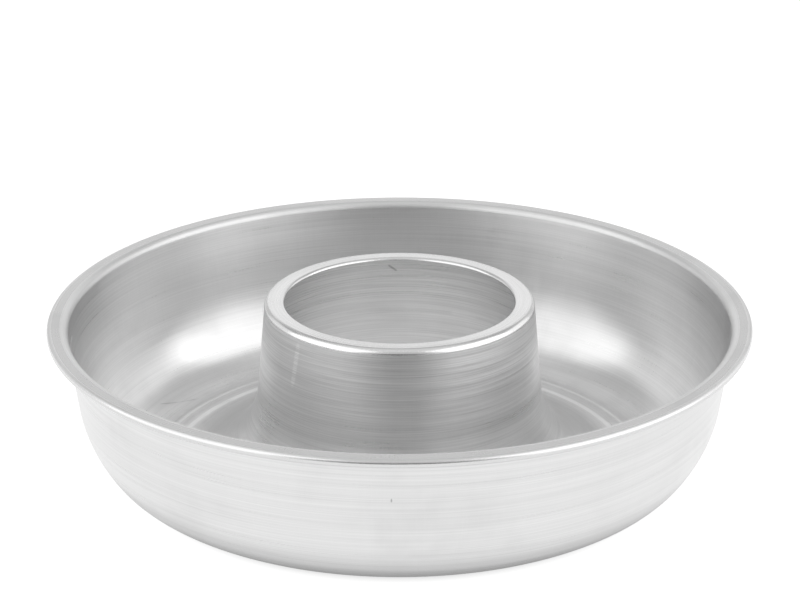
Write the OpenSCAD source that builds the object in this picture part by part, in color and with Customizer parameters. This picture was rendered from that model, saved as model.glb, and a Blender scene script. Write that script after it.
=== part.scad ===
// Ring cake pan, spun from one disc of aluminium sheet.
// The sheet's section is one path of straight runs and bends along its mid-line,
// from the hole in the tube's top to the end of the curled rim, given one thickness.
// The pan stands on the flat ring under its floor, and its axis is Z.

/* [Sheet] */
// Thickness of the aluminium
sheet_t = 0.9; // [0.6:0.1:1.4]

/* [Rim] */
// Diameter of the rim over its curled edge
rim_d = 280; // [264:1:320]
// Height of the flat rim above the table
rim_h = 63.6; // [52:0.2:90]
// Width of the rim, from the wall's inner face to the outer edge
rim_w = 8; // [7:0.1:12]
// Outside diameter of the curled edge
curl_d = 3.2; // [3:0.1:4.4]
// How far round the edge is curled, in degrees
curl_turn = 270; // [180:5:280]
// Radius where the wall bends out into the rim, on the food side
mouth_r = 3; // [1.6:0.1:4]

/* [Wall] */
// Lean of the wall from upright, in degrees
wall_lean = 7.8; // [3:0.2:10]
// Outside radius of the corner between floor and wall
corner_r = 26; // [18:0.5:30]
// How far that corner turns before the side's wider sweep takes over, in degrees
corner_turn = 54; // [44:1:60]
// Outside radius of the side's wider sweep
side_r = 48.3; // [38:0.1:58]

/* [Tube] */
// Outside diameter of the tube's top, measured at the sharp corner
tube_d = 107.4; // [88:0.2:110]
// Height of the tube's top above the table
tube_h = 69.7; // [56:0.1:96]
// Lean of the tube's side from upright, in degrees
tube_lean = 5; // [2:0.5:7]
// Radius of the sweep from the tube down to the floor, on the food side
foot_r = 35.5; // [20:0.5:40]
// Radius of the tube's shoulder, on the food side
shoulder_r = 2.6; // [1.6:0.1:3]
// Width of the flat top round the hole, from the tube's sharp corner to the hole
top_w = 7.9; // [7:0.1:16]
// Radius of the droop that piercing leaves round the hole, on the food side
lip_r = 1.4; // [1.2:0.1:2.5]
// How far that droop turns down, in degrees
lip_turn = 55; // [5:1:60]

/* [Floor] */
// Least width of the flat ring that the pan stands on
stand_w = 3; // [2:0.5:6]

/* [Hidden] */
// How far a bend's flats may lie inside the true arc
bend_gap = 0.02;
// Number of flats round the pan
revolve_fn = 120;

half_t = sheet_t / 2;
mouth_in_r = rim_d / 2 - rim_w;

// Bend from wall to rim, and the curled edge
mouth_c = [
    mouth_in_r + mouth_r * (1 - sin(wall_lean)) / cos(wall_lean),
    rim_h - mouth_r
];
curl_c = [rim_d / 2 - curl_d / 2, rim_h - curl_d / 2];

// The side's sweep touches the wall, and the corner touches the sweep and the table
corner_end = 90 - corner_turn;
side_z = corner_r + (side_r - corner_r) * sin(corner_end);
side_c = [
    mouth_in_r + (sheet_t - side_r) / cos(wall_lean) + (side_z - rim_h) * tan(wall_lean),
    side_z
];
corner_c = side_c + polar(side_r - corner_r, -corner_end);

// The tube's hole and shoulder, and the sweep at its foot, as wide as the floor has room for
hole_r = tube_d / 2 - top_w;
lip_c = [hole_r + lip_r * sin(lip_turn), tube_h - lip_r];
shoulder_c = [
    tube_d / 2 - shoulder_r * (1 - sin(tube_lean)) / cos(tube_lean),
    tube_h - shoulder_r
];
foot_room = (corner_c.x - stand_w - tube_d / 2) * cos(tube_lean) - (tube_h - sheet_t) * sin(tube_lean);
foot_fit_r = min(foot_r, foot_room / (1 - sin(tube_lean)));
foot_c = [
    tube_d / 2 + (foot_fit_r + (tube_h - sheet_t - foot_fit_r) * sin(tube_lean)) / cos(tube_lean),
    sheet_t + foot_fit_r
];

function polar(radius, angle) = radius * [cos(angle), sin(angle)];

// A bend of the path about a centre, as pairs of a mid-line point and the way to the
// food side: face is 1 where the food side is the bend's outside and -1 where it is its inside
function bend(centre, radius, from, to, face) =
    let (
        step = 2 * acos(1 - bend_gap / radius),
        steps = ceil(abs(to - from) / step)
    )
    [for (i = [0 : steps])
        let (angle = from + (to - from) * i / steps)
        [centre + polar(radius, angle), face * polar(1, angle)]];

function tube_path() = concat(
    bend(lip_c, lip_r - half_t, 90 + lip_turn, 90, 1),
    bend(shoulder_c, shoulder_r - half_t, 90, tube_lean, 1),
    bend(foot_c, foot_fit_r + half_t, 180 + tube_lean, 270, -1)
);

function wall_path() = concat(
    bend(corner_c, corner_r - half_t, -90, -corner_end, -1),
    bend(side_c, side_r - half_t, -corner_end, -wall_lean, -1)
);

function rim_path() = concat(
    bend(mouth_c, mouth_r - half_t, 180 - wall_lean, 90, 1),
    bend(curl_c, curl_d / 2 - half_t, 90, 90 - curl_turn, 1)
);

// Closed outline of the sheet: out along the food side and back along the underside
module sheet_section() {
    path = concat(tube_path(), wall_path(), rim_path());
    last = len(path) - 1;
    polygon([
        for (i = [0 : last]) path[i][0] + half_t * path[i][1],
        for (i = [last : -1 : 0]) path[i][0] - half_t * path[i][1]
    ]);
}

module pan() {
    color("silver")
        rotate_extrude($fn = revolve_fn)
            sheet_section();
}

pan();
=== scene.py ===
# %% [markdown]
# # A ring cake pan, spun from aluminium sheet
# The real pan is one disc of aluminium, pressed over a former and turned on a lathe.
# There is nothing to assemble, so the lesson is about three other things: giving a
# thin sheet its exact section, making bare metal look turned and handled, and building
# a studio for it, because metal has no colour of its own and shows its surroundings.

# %% Load the frame and note the size of the solid model
from math import acos, atan2, ceil, cos, degrees, pi, radians, sin, tan

import bpy
from mathutils import Matrix, Vector


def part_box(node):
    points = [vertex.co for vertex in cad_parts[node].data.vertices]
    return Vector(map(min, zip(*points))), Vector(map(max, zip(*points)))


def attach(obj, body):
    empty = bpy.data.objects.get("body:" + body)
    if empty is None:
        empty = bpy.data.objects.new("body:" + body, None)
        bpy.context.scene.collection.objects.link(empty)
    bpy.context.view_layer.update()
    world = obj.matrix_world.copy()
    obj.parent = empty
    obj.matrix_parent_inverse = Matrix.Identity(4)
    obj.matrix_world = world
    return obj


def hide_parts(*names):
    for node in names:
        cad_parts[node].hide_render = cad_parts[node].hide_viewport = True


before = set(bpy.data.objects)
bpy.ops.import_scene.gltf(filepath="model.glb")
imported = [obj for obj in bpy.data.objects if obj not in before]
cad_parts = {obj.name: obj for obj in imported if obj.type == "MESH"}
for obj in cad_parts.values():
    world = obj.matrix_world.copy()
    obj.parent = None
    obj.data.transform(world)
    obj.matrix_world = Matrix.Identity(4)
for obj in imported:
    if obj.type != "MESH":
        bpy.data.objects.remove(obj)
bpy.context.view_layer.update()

# %% [markdown]
# ## The camera
# The camera comes first, since every later choice is judged through it. Its place was
# found by fitting the ellipses of the rim and the tube: a long lens from about a metre
# away, looking down at 22 degrees. Aiming by eye would be quicker, but on a round thing
# an error of one degree shows at once, as a rim that is too open or too flat. The
# picture is taken as 800 pixels wide.

# %% Place the camera
picture_w = 800
focal_px = 2666.3
sensor_mm = 36.0
camera_place = Vector((0.0, -0.98771, 0.45936))
camera_dip = radians(21.563)
camera_roll = radians(0.0703)
pan_off_centre_px = 0.47


def make_camera():
    data = bpy.data.cameras.new("camera")
    data.sensor_width = sensor_mm
    data.lens = focal_px / picture_w * sensor_mm
    camera = bpy.data.objects.new("camera", data)
    yaw = -atan2(pan_off_centre_px, focal_px)
    turn = (
        Matrix.Rotation(yaw, 4, "Z")
        @ Matrix.Rotation(pi / 2 - camera_dip, 4, "X")
        @ Matrix.Rotation(-camera_roll, 4, "Z")
    )
    camera.matrix_world = Matrix.Translation(camera_place) @ turn
    bpy.context.scene.collection.objects.link(camera)
    bpy.context.scene.camera = camera
    return camera


camera = make_camera()
print("lens:", round(camera.data.lens, 1), "mm")

# %% [markdown]
# ## The section of the sheet
# Cut the pan in half and the cut is one thin ribbon: from the hole it runs over the
# tube's top, down the tube, sweeps along the floor, climbs the wall, turns out into the
# rim and curls under. A ribbon of straight runs and bends is best written as the path of
# its mid-line, with the way to the food side kept beside each point. Both faces then come
# from one list, and the thickness cannot drift. The overall sizes are read from the
# frame, and the rest repeat the solid model's, in metres. Only the edge of the hole turns
# down a little further here, as its bright line asks for.

# %% Sizes of the pan
pan_low, pan_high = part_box("pan")
rim_r = pan_high.x
tube_h = pan_high.z
sheet_t = 0.0009
half_t = sheet_t / 2
rim_h = 0.0636
rim_w = 0.008
curl_r = 0.0016
curl_turn = 270
mouth_r = 0.003
wall_lean = 7.8
corner_r = 0.026
corner_turn = 54
side_r = 0.0483
tube_r = 0.0537
tube_lean = 5
foot_r = 0.0355
shoulder_r = 0.0026
hole_r = 0.0458
lip_r = 0.0014
lip_turn = 76
print("rim radius:", round(1000 * rim_r, 1), "mm, tube height:", round(1000 * tube_h, 1), "mm")

# %% [markdown]
# Each bend of the sheet is an arc about a centre. The centres could be typed in, but an
# arc that touches a straight run or another arc has only one place for its centre. So
# they are worked out, and the bends meet smoothly whatever the sizes are.

# %% Centres of the bends
def sine(angle):
    return sin(radians(angle))


def cosine(angle):
    return cos(radians(angle))


def polar(radius, angle):
    return Vector((radius * cosine(angle), radius * sine(angle)))


corner_end = 90 - corner_turn
mouth_in_r = rim_r - rim_w
mouth_out = mouth_r * (1 - sine(wall_lean)) / cosine(wall_lean)
mouth_c = Vector((mouth_in_r + mouth_out, rim_h - mouth_r))
curl_c = Vector((rim_r - curl_r, rim_h - curl_r))
side_z = corner_r + (side_r - corner_r) * sine(corner_end)
side_in = (sheet_t - side_r) / cosine(wall_lean) + (side_z - rim_h) * tan(radians(wall_lean))
side_c = Vector((mouth_in_r + side_in, side_z))
corner_c = side_c + polar(side_r - corner_r, -corner_end)
lip_c = Vector((hole_r + lip_r * sine(lip_turn), tube_h - lip_r))
shoulder_in = shoulder_r * (1 - sine(tube_lean)) / cosine(tube_lean)
shoulder_c = Vector((tube_r - shoulder_in, tube_h - shoulder_r))
foot_out = (foot_r + (tube_h - sheet_t - foot_r) * sine(tube_lean)) / cosine(tube_lean)
foot_c = Vector((tube_r + foot_out, sheet_t + foot_r))
print("flat ring under the floor, mm:", [round(1000 * r, 1) for r in (foot_c.x, corner_c.x)])

# %% [markdown]
# A bend needs more steps where it is wide and fewer where it is small. Fixing the gap
# between the chord and the true arc gives that by itself, and a hundredth of a
# millimetre is well under what the picture can show. Each station also notes its
# finish: the flat rim and the tube's flat top were pressed against the former, the bend
# between wall and rim was worked on its own, and so was the bead, whose top is rubbed as
# dull as that bend.

# %% Walk the path
bend_gap = 0.00001
run_step = 0.004
rim_inset = 0.0003
rubbed_turn = 32
TURNED, TOP, MOUTH, RIM, BEAD, OUTER = range(6)


def bend(centre, radius, start, end, face, finish):
    """Stations of a bend: mid-line point, way to the food side, and finish.
    face is 1 where the food side is outside the bend and -1 where it is inside."""
    step = degrees(2 * acos(1 - bend_gap / radius))
    steps = ceil(abs(end - start) / step)
    angles = [start + (end - start) * i / steps for i in range(steps + 1)]
    return [(centre + polar(radius, a), face * polar(1, a), finish) for a in angles]


def flat_rim(start, end, finish):
    """Two stations on the flat rim, which keep its finish apart from the bends beside it."""
    return [(Vector((x, rim_h - half_t)), Vector((0.0, 1.0)), finish) for x in (start, end)]


def with_runs(stations):
    """Adds stations along the straight runs, so that no face is long and thin."""
    filled = [stations[0]]
    for (here, _, was), (there, face, finish) in zip(stations, stations[1:]):
        parts = max(1, ceil((there - here).length / run_step))
        for i in range(1, parts):
            filled.append((here.lerp(there, i / parts), face, min(was, finish)))
        filled.append((there, face, finish))
    return filled


path = with_runs(
    bend(lip_c, lip_r - half_t, 90 + lip_turn, 90, 1, TOP)
    + bend(shoulder_c, shoulder_r - half_t, 90, tube_lean, 1, TOP)
    + bend(foot_c, foot_r + half_t, 180 + tube_lean, 270, -1, TURNED)
    + bend(corner_c, corner_r - half_t, -90, -corner_end, -1, TURNED)
    + bend(side_c, side_r - half_t, -corner_end, -wall_lean, -1, TURNED)[1:]
    + bend(mouth_c, mouth_r - half_t, 180 - wall_lean, 90, 1, MOUTH)
    + flat_rim(mouth_c.x + rim_inset, curl_c.x - rim_inset, RIM)
    + bend(curl_c, curl_r - half_t, 90, 90 - rubbed_turn, 1, MOUTH)
    + bend(curl_c, curl_r - half_t, 90 - rubbed_turn, 90 - curl_turn, 1, BEAD)[1:]
)


def lengths_along(stations):
    """How far along the sheet each station lies."""
    run = [0.0]
    for (here, _, _), (there, _, _) in zip(stations, stations[1:]):
        run.append(run[-1] + (there - here).length)
    return run


path_run = lengths_along(path)
print("stations on the path:", len(path))
print("length of the sheet's section in mm:", round(1000 * path_run[-1], 1))

# %% [markdown]
# The former under the sheet is made in two parts, a core for the tube and a ring round
# it. Where they meet, the sheet sinks a few tenths of a millimetre, and so the floor
# shows two faint bright rings. They are far too small to build in the solid model, but a
# mirror gives them away, so the food side steps down here twice and recovers on the
# sweep. Two hair-fine grooves on the tube's flat top are made the same way. A bump in
# the material could fake them, but real steps stay in the mesh wherever it is used. Only
# the drop and its slope are needed: the slope turns the normal.

# %% Witness rings on the floor and the tube's top
# Each ring and groove: its radius, half its width, and its depth
ring_steps = [(0.0923, 0.0012, 0.00032), (0.0983, 0.0010, 0.00020)]
grooves = [(0.0473, 0.0004, 0.000014), (0.0508, 0.0005, 0.00004)]
recovers = (0.076, 0.090)
ring_zone = (0.0755, 0.1000)
ring_below = 0.02
groove_zone = (0.0468, 0.0514)
groove_above = tube_h - 0.0001
slope_step = 0.00002
step_margin = 2.2
step_spacing = 0.00028


def soft_step(value, low, high):
    t = min(max((value - low) / (high - low), 0.0), 1.0)
    return t * t * (3 - 2 * t)


def ring_drop(radius):
    """How far the floor lies under the plain section at this radius."""
    drop = sum(depth * (1 - soft_step(radius, r - half, r + half)) for r, half, depth in ring_steps)
    return drop * soft_step(radius, *recovers)


def groove_drop(radius):
    """How far the tube's top lies under the plain section at this radius."""
    return sum(depth * (1 - soft_step(abs(radius - r), 0.0, half)) for r, half, depth in grooves)


def sunk(point, face):
    """The food side's point and normal, sunk where it is on the floor or the tube's top."""
    here = point + half_t * face
    if ring_zone[0] < here.x < ring_zone[1] and here.y < ring_below:
        drop = ring_drop
    elif groove_zone[0] < here.x < groove_zone[1] and here.y > groove_above:
        drop = groove_drop
    else:
        return here, face
    slope = (drop(here.x + slope_step) - drop(here.x - slope_step)) / (2 * slope_step)
    outward = Vector((face.y, -face.x))
    return here - drop(here.x) * face, (face + slope * outward).normalized()


def near_step(low, high):
    """Whether a stretch of the path crosses one of the narrow steps or grooves."""
    middle = (low + high) / 2
    if middle.y < ring_below / 2:
        narrow = ring_steps
    elif middle.y > tube_h - sheet_t:
        narrow = grooves
    else:
        narrow = []
    return any(
        low.x - step_margin * half < r < high.x + step_margin * half for r, half, _ in narrow
    )


def with_rings(stations):
    """More stations across the narrow steps."""
    filled = [stations[0]]
    for (here, was_face, _), (there, face, finish) in zip(stations, stations[1:]):
        parts = ceil((there - here).length / step_spacing) if near_step(here, there) else 1
        for i in range(1, parts):
            turned = was_face.lerp(face, i / parts).normalized()
            filled.append((here.lerp(there, i / parts), turned, finish))
        filled.append((there, face, finish))
    return filled


food_path = with_rings(path)
food_run = lengths_along(food_path)
print("stations on the food side:", len(food_path))
print("deepest drop in mm:", round(1000 * ring_drop(recovers[1]), 2))

# %% [markdown]
# The two cut edges, at the hole and inside the curl, have had their corners broken. A
# tiny rounded corner there catches a line of light that a sharp one would not. Every
# point of the outline keeps its true normal: smooth shading that is averaged from flat
# faces would make the reflections wander near each bend.

# %% Close the ribbon into an outline
edge_r = 0.0001
edge_steps = 3


def rounded_cut(point, face, out, along, finish):
    """The cut end of the sheet, from its food side to its underside, with broken corners."""
    turned = []
    for side in (1, -1):
        centre = point + side * (half_t - edge_r) * face - edge_r * out
        for i in range(edge_steps + 1):
            a = pi / 2 * (i if side == 1 else edge_steps - i) / edge_steps
            normal = sin(a) * out + side * cos(a) * face
            turned.append((centre + edge_r * normal, normal, along, finish))
    return turned


def sheet_outline():
    """Closed outline of the sheet: point, normal, length along the path, finish."""
    (hole, hole_face, _), (curl, curl_face, _) = path[0], path[-1]
    hole_out = (path[0][0] - path[1][0]).normalized()
    curl_out = (path[-1][0] - path[-2][0]).normalized()
    food = list(zip(food_path, food_run))[1:-1]
    under = list(zip(path, path_run))[1:-1]
    points = [(*sunk(p, face), s, finish) for (p, face, finish), s in food]
    points += rounded_cut(curl, curl_face, curl_out, path_run[-1], OUTER)
    points += [(p - half_t * face, -face, s, OUTER) for (p, face, _), s in reversed(under)]
    points += reversed(rounded_cut(hole, hole_face, hole_out, path_run[0], TOP))
    return points


outline = sheet_outline()
print("points in the outline:", len(outline))

# %% [markdown]
# ## Turning the outline into the pan
# Blender's Spin and Screw tools both turn a profile, but a short loop of our own can
# also write down, on every point, how far along the sheet it lies. The spinning tool
# followed just that path, so the finish can draw its lines round every bend. The loop
# sets the true normals too, and unrolls the sheet like a label for anyone who wants to
# paint it: once round from left to right, and along the section from bottom to top.

# %% Turn the outline
flats_round = 300


def turn_outline(name, points, count):
    """The outline turned round the axis in a number of flats, as a mesh."""
    ring = len(points)
    places, normals, faces, finishes, corners = [], [], [], [], []
    for k in range(count):
        c, s = cos(2 * pi * k / count), sin(2 * pi * k / count)
        places += [(p.x * c, p.x * s, p.y) for p, _, _, _ in points]
        normals += [(n.x * c, n.x * s, n.y) for _, n, _, _ in points]
        for i in range(ring):
            here, there, j = k * ring, (k + 1) % count * ring, (i + 1) % ring
            faces.append((here + i, here + j, there + j, there + i))
            pair = points[i][3], points[j][3]
            finishes.append(OUTER if OUTER in pair else min(pair))
            left, right, low, high = k / count, (k + 1) / count, i / ring, (i + 1) / ring
            corners += [left, low, left, high, right, high, right, low]
    mesh = bpy.data.meshes.new(name)
    mesh.from_pydata(places, [], faces)
    mesh.shade_smooth()
    mesh.normals_split_custom_set_from_vertices(normals)
    mesh.polygons.foreach_set("material_index", finishes)
    along = mesh.attributes.new("along", "FLOAT", "POINT")
    along.data.foreach_set("value", [s for _, _, s, _ in points] * count)
    mesh.uv_layers.new(name="OFBake").uv.foreach_set("vector", corners)
    return mesh


pan_mesh = turn_outline("spun_pan", outline, flats_round)
pan = bpy.data.objects.new("spun_pan", pan_mesh)
bpy.context.scene.collection.objects.link(pan)
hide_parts("pan")
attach(pan, "root")
print("faces:", len(pan_mesh.polygons))

# %% [markdown]
# ## Helpers for nodes
# A material is a small graph. These helpers keep each line of it readable: one adds a
# node and fills its inputs, whether with a number or with another node's output, and
# the others do sums and steps.

# %% Helpers for nodes
def add(tree, kind, inputs=None, **settings):
    """Adds a node to the tree. inputs maps a socket's name or number to a value or output."""
    node = tree.nodes.new("ShaderNode" + kind)
    for name, value in settings.items():
        setattr(node, name, value)
    for key, value in (inputs or {}).items():
        if isinstance(value, bpy.types.NodeSocket):
            tree.links.new(value, node.inputs[key])
        else:
            node.inputs[key].default_value = value
    return node


def maths(tree, operation, *values, clamp=False):
    values = dict(enumerate(values))
    return add(tree, "Math", values, operation=operation, use_clamp=clamp).outputs[0]


def weighted(tree, total, *parts):
    """total plus each part's value times its weight."""
    for value, weight in parts:
        total = maths(tree, "ADD", total, maths(tree, "MULTIPLY", value, weight))
    return total


def vector_maths(tree, operation, *values):
    node = add(tree, "VectorMath", dict(enumerate(values)), operation=operation)
    return node.outputs["Value" if operation in ("DOT_PRODUCT", "LENGTH") else "Vector"]


def scaled(tree, vector, scale):
    return add(tree, "VectorMath", {0: vector, "Scale": scale}, operation="SCALE").outputs["Vector"]


def ramp(tree, value, low, high, to_low=0.0, to_high=1.0):
    """A soft step: to_low where value is under low, to_high where it is over high."""
    ends = {"From Min": low, "From Max": high, "To Min": to_low, "To Max": to_high}
    node = add(tree, "MapRange", {"Value": value, **ends}, interpolation_type="SMOOTHSTEP")
    return node.outputs["Result"]


def grey(tree, level):
    channels = {"Red": level, "Green": level, "Blue": level}
    return add(tree, "CombineColor", channels).outputs["Color"]


def new_group(name, inputs, outputs):
    """An empty node group with named number or vector inputs, and its two ends' sockets."""
    group = bpy.data.node_groups.new(name, "ShaderNodeTree")
    for socket, value in inputs.items():
        kind = "NodeSocketFloat" if isinstance(value, float) else "NodeSocketVector"
        made = group.interface.new_socket(socket, in_out="INPUT", socket_type=kind)
        made.default_value = value
    for socket in outputs:
        group.interface.new_socket(socket, in_out="OUTPUT", socket_type="NodeSocketFloat")
    given = group.nodes.new("NodeGroupInput").outputs
    return group, given, group.nodes.new("NodeGroupOutput").inputs


def place(tree, group, **inputs):
    """Puts a node group in a tree and returns its outputs."""
    node = tree.nodes.new("ShaderNodeGroup")
    node.node_tree = group
    for key, value in inputs.items():
        socket = node.inputs[key.replace("_", " ").capitalize()]
        if isinstance(value, bpy.types.NodeSocket):
            tree.links.new(value, socket)
        else:
            socket.default_value = value
    return node.outputs


print("node helpers ready")

# %% [markdown]
# ## Lines along and across the rings
# As the disc spins, the tool moves slowly outwards and leaves a shallow spiral, so close
# to rings that rings will do. Noise read along one line gives such a pattern: the
# length along the sheet is stretched until neighbouring rings differ, and the way round
# the axis is added with a small weight so that a line slowly fades in and out. A wave
# texture draws rings too, but far too evenly.
#
# Cleaning pads and stacked pans rub up and down the wall, which leaves faint strokes
# that cross the rings. They are the same kind of noise with the weights swapped: fine
# round the axis and long along the sheet.

# %% Node groups for the turning lines and the cross strokes
def make_lines(name, around, length, detail, roughness):
    """Noise over the way round the axis times around, and the way along the sheet by length."""
    inputs = {"Around": around, "Length": length, "Start": 0.0}
    group, given, result = new_group(name, inputs, ["Height"])
    along = add(group, "Attribute", attribute_name="along").outputs["Fac"]
    here = add(group, "TexCoord").outputs["Object"]
    flat = vector_maths(group, "MULTIPLY", here, (1.0, 1.0, 0.0))
    way = scaled(group, vector_maths(group, "NORMALIZE", flat), given["Around"])
    up = maths(group, "ADD", maths(group, "DIVIDE", along, given["Length"]), given["Start"])
    up = add(group, "CombineXYZ", {"Z": up}).outputs["Vector"]
    read_at = vector_maths(group, "ADD", way, up)
    noise = add(
        group, "TexNoise",
        {"Vector": read_at, "Scale": 1.0, "Detail": detail, "Roughness": roughness},
    )
    group.links.new(maths(group, "SUBTRACT", noise.outputs["Fac"], 0.5), result["Height"])
    return group


turning_lines = make_lines("turning_lines", around=1.5, length=0.0008, detail=2.0, roughness=0.6)
cross_strokes = make_lines("cross_strokes", around=160.0, length=0.03, detail=3.0, roughness=0.65)
print("groups:", turning_lines.name, "and", cross_strokes.name)

# %% [markdown]
# ## Handling
# Bare aluminium dulls where it is touched and stays bright where it is not. Two sizes
# of soft noise, multiplied, give patches with broken edges instead of round clouds. The
# noise is read in space and not on an unrolled surface, so it has no seam.

# %% Node group for the smudges
def make_smudges(finer, patch_edges, break_edges, thinnest):
    """Patches, broken by a finer noise down to the thinnest share of the full mask."""
    group, given, result = new_group("smudges", {"Size": 0.03, "Amount": 0.5}, ["Mask"])
    here = add(group, "TexCoord").outputs["Object"]
    scale = maths(group, "DIVIDE", 1.0, given["Size"])
    fine_scale = maths(group, "MULTIPLY", scale, finer)
    broad = add(
        group, "TexNoise", {"Vector": here, "Scale": scale, "Detail": 2.0, "Distortion": 0.6}
    )
    small = add(group, "TexNoise", {"Vector": here, "Scale": fine_scale, "Detail": 3.0})
    patches = ramp(group, broad.outputs["Fac"], *patch_edges)
    broken = ramp(group, small.outputs["Fac"], *break_edges, thinnest, 1.0)
    mask = maths(group, "MULTIPLY", maths(group, "MULTIPLY", patches, broken), given["Amount"])
    group.links.new(mask, result["Mask"])
    return group


smudges = make_smudges(
    finer=4.3, patch_edges=(0.42, 0.68), break_edges=(0.3, 0.7), thinnest=0.45
)
print("group:", smudges.name)

# %% [markdown]
# ## Single nicks and painted glints
# A used pan also has a few marks that are nobody's pattern, and the same strokes paint two
# highlights where light catches the sheet. Each is a short soft-edged stroke: the group is
# given its middle, the way it runs, and its two sizes, and returns a mask that is 1 in the
# stroke. Cutting them into the mesh would take a great many faces for a few hundredths of
# a millimetre, and a mask can change the tone as well.

# %% Node group for a nick or a painted glint
def make_nick_and_glint(full, core, tip):
    """full is the share of its length that is whole, core the share of its width, and tip
    how wide its ends still are."""
    inputs = {"Middle": (0.0, 0.0, 0.0), "Way": (1.0, 0.0, 0.0), "Length": 0.006, "Width": 0.0004}
    group, given, result = new_group("nick_and_glint", inputs, ["Mask"])
    here = add(group, "TexCoord").outputs["Object"]
    apart = vector_maths(group, "SUBTRACT", here, given["Middle"])
    way = vector_maths(group, "NORMALIZE", given["Way"])
    run_on = vector_maths(group, "DOT_PRODUCT", apart, way)
    on_line = scaled(group, way, run_on)
    beside = vector_maths(group, "LENGTH", vector_maths(group, "SUBTRACT", apart, on_line))
    half = maths(group, "MULTIPLY", given["Length"], 0.5)
    fades = maths(group, "MULTIPLY", half, full)
    ends = ramp(group, maths(group, "ABSOLUTE", run_on), fades, half, 1.0, 0.0)
    taper = maths(group, "MULTIPLY", given["Width"], weighted(group, tip, (ends, 1.0 - tip)))
    across = ramp(group, beside, maths(group, "MULTIPLY", taper, core), taper, 1.0, 0.0)
    group.links.new(maths(group, "MULTIPLY", ends, across), result["Mask"])
    return group


nick_and_glint = make_nick_and_glint(full=0.6, core=0.4, tip=0.3)
print("group:", nick_and_glint.name)

# %% [markdown]
# ## Spun aluminium
# Clean aluminium returns a little over seven tenths of the light, with hardly any tint.
# The fine tool marks scatter light across the rings far more than along them, which is
# what the Anisotropic value stands for, and the Tangent node tells the shader which way
# the rings run. A plain polished metal would look like chrome, so the patterns above
# vary the tone, the roughness and the relief. How much they do so is kept in one place,
# where it can be tried out.

# %% How much each pattern counts
# The fine lines and the broad bands, the strokes across them, and the smudges
line_length, line_around = 0.00045, 1.2
band_length, band_around, band_share, band_start = 0.0026, 0.8, 0.8, 40.0
stroke_length, stroke_around = 0.035, 170.0
smudge_size = 0.035
# Lengths along the sheet over which the lines calm down, near the tube's top and on the tube
near_top_ends = (0.012, 0.045)
on_tube_ends = (0.045, 0.070)
on_tube_more = 0.6
# How much lines, strokes and smudges change the tone, the roughness and the height in metres
tone_by = {"lines": 0.20, "strokes": 0.09, "smudges": -0.03}
rough_by = {"lines": 0.12, "strokes": 0.10, "smudges": 0.09}
height_by = {"lines": 0.000006, "bands": 0.000018, "strokes": 0.000001}
# A mark without depth, a rub or a painted highlight, touches the ridges of the fine lines, and
# reaches less into the grooves
ridge_heights = (-0.12, 0.08)
rub_and_highlight_in_grooves = 0.3
# With this turn of the shader, light spreads across the rings
across_rings = 0.25
print("lines every", 1000 * line_length, "mm, bands every", 1000 * band_length, "mm")

# %% [markdown]
# Six materials share one recipe, one for each stretch of the sheet that was worked in
# its own way, so the recipe is a function and only its numbers differ. Each pattern is
# made once and then changes tone, roughness and relief together, because a ridge of the
# real sheet changes all three at the same spot.

# %% The recipe of a finish
def make_aluminium(
    name, tone, roughness, lines, strokes, marks, anisotropic, start=0.0, coarser=0.0, nicks_and_glints=()
):
    """A finish of spun aluminium. coarser is how much rougher it gets near the tube's top."""
    material = bpy.data.materials.new(name)
    material.use_nodes = True
    tree = material.node_tree
    shader = tree.nodes["Principled BSDF"]
    shader.inputs["Metallic"].default_value = 1.0
    shader.inputs["Anisotropic"].default_value = anisotropic
    shader.inputs["Anisotropic Rotation"].default_value = across_rings
    rings_way = add(tree, "Tangent", direction_type="RADIAL", axis="Z").outputs[0]
    tree.links.new(rings_way, shader.inputs["Tangent"])

    along = add(tree, "Attribute", attribute_name="along").outputs["Fac"]
    near_top = ramp(tree, along, *near_top_ends, 1.0, 0.0)
    on_tube = ramp(tree, along, *on_tube_ends, on_tube_more, 0.0)
    fine = place(tree, turning_lines, Length=line_length, Around=line_around, Start=start)["Height"]
    fine = maths(tree, "MULTIPLY", fine, weighted(tree, 1.0, (near_top, 1.0), (on_tube, 1.0)))
    bands = place(
        tree, turning_lines, Length=band_length, Around=band_around, Start=start + band_start
    )["Height"]
    bands = maths(tree, "MULTIPLY", bands, maths(tree, "ADD", on_tube, 1.0))
    rings = weighted(tree, fine, (bands, band_share))
    across = place(
        tree, cross_strokes, Length=stroke_length, Around=stroke_around, Start=start
    )["Height"]
    dulled = place(tree, smudges, Size=smudge_size, Amount=marks)["Mask"]

    shade = weighted(
        tree, 0.0, (rings, tone_by["lines"] * lines), (across, tone_by["strokes"] * strokes),
        (dulled, tone_by["smudges"]),
    )
    rough = weighted(
        tree, 0.0, (rings, rough_by["lines"] * lines), (near_top, coarser),
        (across, rough_by["strokes"] * strokes), (dulled, rough_by["smudges"]),
    )
    relief = weighted(
        tree, 0.0, (fine, height_by["lines"] * lines), (bands, height_by["bands"] * lines),
        (across, height_by["strokes"] * strokes),
    )
    on_ridges = ramp(tree, fine, *ridge_heights, rub_and_highlight_in_grooves, 1.0)
    # Each nick darkens or lightens the tone; the streak and the glint on the food side are painted
    # highlights
    for middle, way, length, width, lighter, height in nicks_and_glints:
        mask = place(tree, nick_and_glint, Middle=middle, Way=way, Length=length, Width=width)["Mask"]
        if height == 0.0:
            mask = maths(tree, "MULTIPLY", mask, on_ridges)
        shade = weighted(tree, shade, (mask, lighter))
        relief = weighted(tree, relief, (mask, height))

    level = maths(tree, "ADD", shade, tone, clamp=True)
    tree.links.new(grey(tree, level), shader.inputs["Base Color"])
    tree.links.new(maths(tree, "ADD", rough, roughness, clamp=True), shader.inputs["Roughness"])
    bump = add(tree, "Bump", {"Height": relief, "Distance": 1.0, "Strength": 1.0})
    tree.links.new(bump.outputs["Normal"], shader.inputs["Normal"])
    return material


print("recipe ready")
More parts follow.
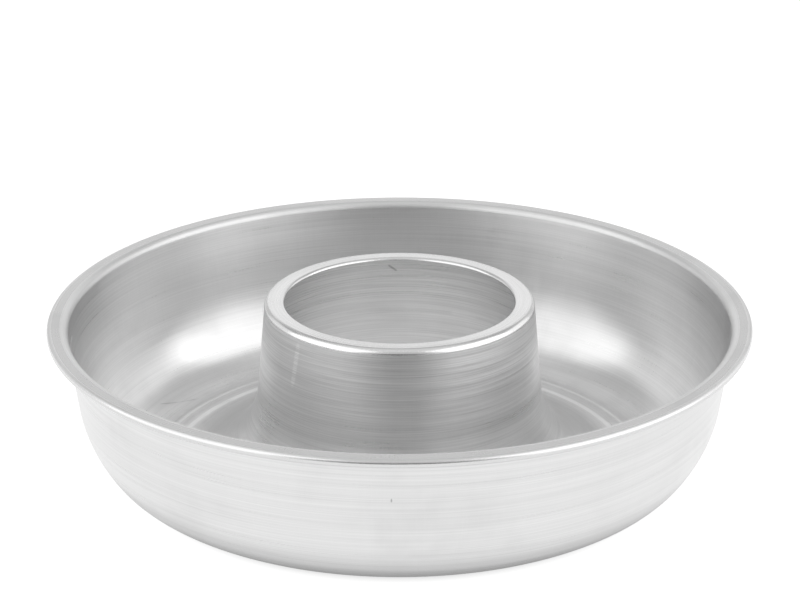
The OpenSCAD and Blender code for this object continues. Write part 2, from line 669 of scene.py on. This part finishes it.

# %% [markdown]
# The marks are listed one by one, in the pan's own frame. On the food side they are a
# dark scratch on the floor, a painted highlight streaking down the tube, and a painted glint
# on the wall over a small ridge. On the other side they are a nick and a pale scuff inside
# the tube and a dark spot in front.

# %% The marks
# Each mark, a nick or a painted highlight: its middle, the way it runs, its length and width,
# how much lighter it is, and its height
inside_nicks_and_glints = [
    ((-0.0948, 0.0504, 0.0027), (0.79, 0.60, -0.12), 0.026, 0.0005, -0.16, -0.000015),
    # A painted highlight: a streak of light down the tube, lighter tone only, broken by the rings
    ((-0.04025, -0.0369, 0.0565), (-0.13, 0.05, -1.0), 0.022, 0.0016, 0.13, 0.0),
    # A painted glint on the wall: a lighter tone over a small real ridge
    ((-0.1303, -0.0113, 0.0548), (0.084, -1.0, 0.0), 0.022, 0.0009, 0.28, 0.00012),
]
outer_nicks = [
    ((-0.0029, 0.0531, 0.0624), (0.78, 0.08, -0.62), 0.0056, 0.0007, -0.25, -0.00003),
    ((0.0268, 0.0477, 0.0433), (0.87, -0.49, 0.0), 0.015, 0.0011, 0.10, 0.0),
    ((-0.0030, -0.1301, 0.0436), (0.0, 0.2, 1.0), 0.0022, 0.0004, -0.3, -0.00002),
]
print("marks:", len(inside_nicks_and_glints), "on the food side,", len(outer_nicks), "on the other")

# %% [markdown]
# The stretches were told apart by their reflections. The tube's top and the bead are the
# smoothest and the bend into the rim is the dullest. The flat rim has a darker tone, and the
# bead a little darker, as painted shade that dims their reflections.
# The patterns start at another place in each, so that no two look alike.

# %% The six finishes
# In the order of TURNED, TOP, MOUTH, RIM, BEAD and OUTER
finishes = [
    make_aluminium(
        "aluminium_turned", tone=0.72, roughness=0.30, lines=0.9, strokes=0.45, marks=0.8,
        anisotropic=0.5, coarser=0.10, nicks_and_glints=inside_nicks_and_glints,
    ),
    make_aluminium(
        "aluminium_top", tone=0.74, roughness=0.25, lines=0.4, strokes=0.3, marks=0.5,
        anisotropic=0.4, start=7.0,
    ),
    make_aluminium(
        "aluminium_mouth", tone=0.71, roughness=0.44, lines=0.8, strokes=0.4, marks=0.5,
        anisotropic=0.6, start=3.0,
    ),
    # The flat rim's low tone is painted shade that dims its reflection
    make_aluminium(
        "aluminium_flange", tone=0.55, roughness=0.26, lines=0.2, strokes=0.2, marks=0.5,
        anisotropic=0.0, start=7.0,
    ),
    # The bead's slightly lower tone is painted shade that dims its reflection
    make_aluminium(
        "aluminium_bead", tone=0.67, roughness=0.25, lines=0.2, strokes=0.2, marks=0.5,
        anisotropic=0.0, start=9.0,
    ),
    make_aluminium(
        "aluminium_outer", tone=0.71, roughness=0.30, lines=0.9, strokes=0.25, marks=0.8,
        anisotropic=0.5, start=19.0, nicks_and_glints=outer_nicks,
    ),
]
for finish in finishes:
    pan_mesh.materials.append(finish)
print("materials:", [finish.name for finish in finishes])

# %% [markdown]
# ## The studio
# The picture was taken on a lit white table, with a large soft lamp on either side and
# a darker room behind the camera. That darker side matters: it draws the dark line on
# the rolled rim and the shade down the front of the tube. A panorama of a real studio
# would light the metal in one step, but a few plain shapes can be moved until each
# reflection lies where it should. The surroundings are one soft gradient, the same for
# every ray.

# %% Surroundings
# The ends of the soft steps between the glows. A direction is a unit vector, so they are
# its parts: Y is towards the back, and Z is up
behind_camera_y = (-0.99, -0.85)
front_to_back_y = (-0.5, 0.2)
halfway_z = (0.42, 0.58)
overhead_z = (0.80, 0.93)


def make_surroundings(low_down, behind_camera, halfway_back, halfway_front, overhead):
    world = bpy.data.worlds.new("studio")
    bpy.context.scene.world = world
    world.use_nodes = True
    tree = world.node_tree
    way = add(tree, "TexCoord").outputs["Generated"]
    parts = add(tree, "SeparateXYZ", {0: way}).outputs
    level = ramp(tree, parts["Y"], *behind_camera_y, behind_camera, low_down)
    halfway = ramp(tree, parts["Y"], *front_to_back_y, halfway_front, halfway_back)
    for ends, glow in ((halfway_z, halfway), (overhead_z, overhead)):
        blend = {"Factor": ramp(tree, parts["Z"], *ends), "A": level, "B": glow}
        level = add(tree, "Mix", blend, data_type="FLOAT").outputs["Result"]
    tree.links.new(grey(tree, level), tree.nodes["Background"].inputs["Color"])


make_surroundings(
    low_down=0.68, behind_camera=0.0, halfway_back=0.51, halfway_front=0.66, overhead=0.80
)
print("surroundings ready")

# %% [markdown]
# A softbox is a lamp behind a white cloth, so it is a rectangle that glows evenly. Its
# power follows from how bright its face should look and how large it is. Three smaller
# and dimmer rectangles stand for white cards, which fill the walls between the lamps'
# reflections.

# %% Softboxes and cards
lamp_distance = 1.8


def make_lamp(name, azimuth, height_angle, width, height, glow):
    """A rectangle aimed at the pan. azimuth is from the back wall round by the right."""
    lamp = bpy.data.lights.new(name, "AREA")
    lamp.shape = "RECTANGLE"
    lamp.size, lamp.size_y = width, height
    lamp.energy = glow * pi * width * height
    holder = bpy.data.objects.new(name, lamp)
    a, e = radians(azimuth), radians(height_angle)
    holder.location = lamp_distance * Vector((sin(a) * cos(e), cos(a) * cos(e), sin(e)))
    holder.rotation_euler = (-holder.location).to_track_quat("-Z", "Y").to_euler()
    bpy.context.scene.collection.objects.link(holder)
    print(name, "at", [round(v, 2) for v in holder.location], "power:", round(lamp.energy, 2), "W")


make_lamp("softbox_right", azimuth=112, height_angle=27, width=2.2, height=2.3, glow=1.04)
make_lamp("card_right", azimuth=66, height_angle=16, width=1.3, height=1.3, glow=0.58)
make_lamp("softbox_left", azimuth=-113, height_angle=31, width=2.3, height=2.2, glow=0.90)
make_lamp("card_left", azimuth=-66, height_angle=14, width=1.3, height=1.2, glow=0.30)
make_lamp("card_back", azimuth=0, height_angle=24, width=1.6, height=0.9, glow=0.38)

# %% [markdown]
# The table glows by itself for the camera and in the metal, so that it stays white, and
# takes a share of the lamps' light too, so that the pan's shadow is still on it. Under
# the pan no lamp reaches it, and there the glow fades, a painted shadow: without that, the
# inside of the tube would be lit from below. Under the middle of the hole the glow is
# painted a little brighter, a painted pool of the light that falls through it. Lamps alone
# could make the table white too, but they would burn out the metal first.

# %% White table
def make_table(size, glow, answer, under_pan, shaded, mirrored, hole, under):
    """shaded and mirrored are the radii over which the glow returns outside the pan, for
    the camera and in the metal; inside them the fading glow is a painted shadow. Over the
    radii of hole it falls from the first value of under to the second, a painted pool of
    the light through the hole. The cloth's share of the lamps falls from under_pan to answer."""
    mesh = bpy.data.meshes.new("table")
    corners = [(-size, -size, 0), (size, -size, 0), (size, size, 0), (-size, size, 0)]
    mesh.from_pydata(corners, [], [(0, 1, 2, 3)])
    table = bpy.data.objects.new("table", mesh)
    bpy.context.scene.collection.objects.link(table)
    material = bpy.data.materials.new("white_table")
    material.use_nodes = True
    tree = material.node_tree
    tree.nodes.remove(tree.nodes["Principled BSDF"])
    ray = add(tree, "LightPath").outputs
    from_axis = vector_maths(tree, "LENGTH", add(tree, "TexCoord").outputs["Object"])
    # Painted light: a pool under the hole, brightest in the middle
    through_hole = ramp(tree, from_axis, *hole, *under)
    # Painted shadow: the glow fades under the pan and round its foot
    in_picture = maths(tree, "MAXIMUM", ramp(tree, from_axis, *shaded), through_hole)
    in_metal = maths(tree, "MAXIMUM", ramp(tree, from_axis, *mirrored), through_hole)
    direct = maths(tree, "MAXIMUM", ray["Is Camera Ray"], ray["Is Transmission Ray"])
    strength = weighted(tree, 0.0, (direct, in_picture), (ray["Is Glossy Ray"], in_metal))
    strength = maths(tree, "MULTIPLY", strength, glow)
    shine = add(tree, "Emission", {"Color": (1, 1, 1, 1), "Strength": strength})
    share = ramp(tree, from_axis, *shaded, under_pan, answer)
    cloth = add(tree, "BsdfDiffuse", {"Color": grey(tree, share)})
    both = add(tree, "AddShader", {0: shine.outputs[0], 1: cloth.outputs[0]})
    tree.links.new(both.outputs[0], tree.nodes["Material Output"].inputs["Surface"])
    mesh.materials.append(material)


make_table(
    size=12.0, glow=0.98, answer=0.15, under_pan=0.8,
    shaded=(0.094, 0.112), mirrored=(0.097, 0.132), hole=(0.025, 0.07), under=(0.43, 0.22),
)
print("table made")

# %% [markdown]
# ## Finish
# Colours stay as written with the Standard view.

# %% Colour view
bpy.context.scene.view_settings.view_transform = "Standard"
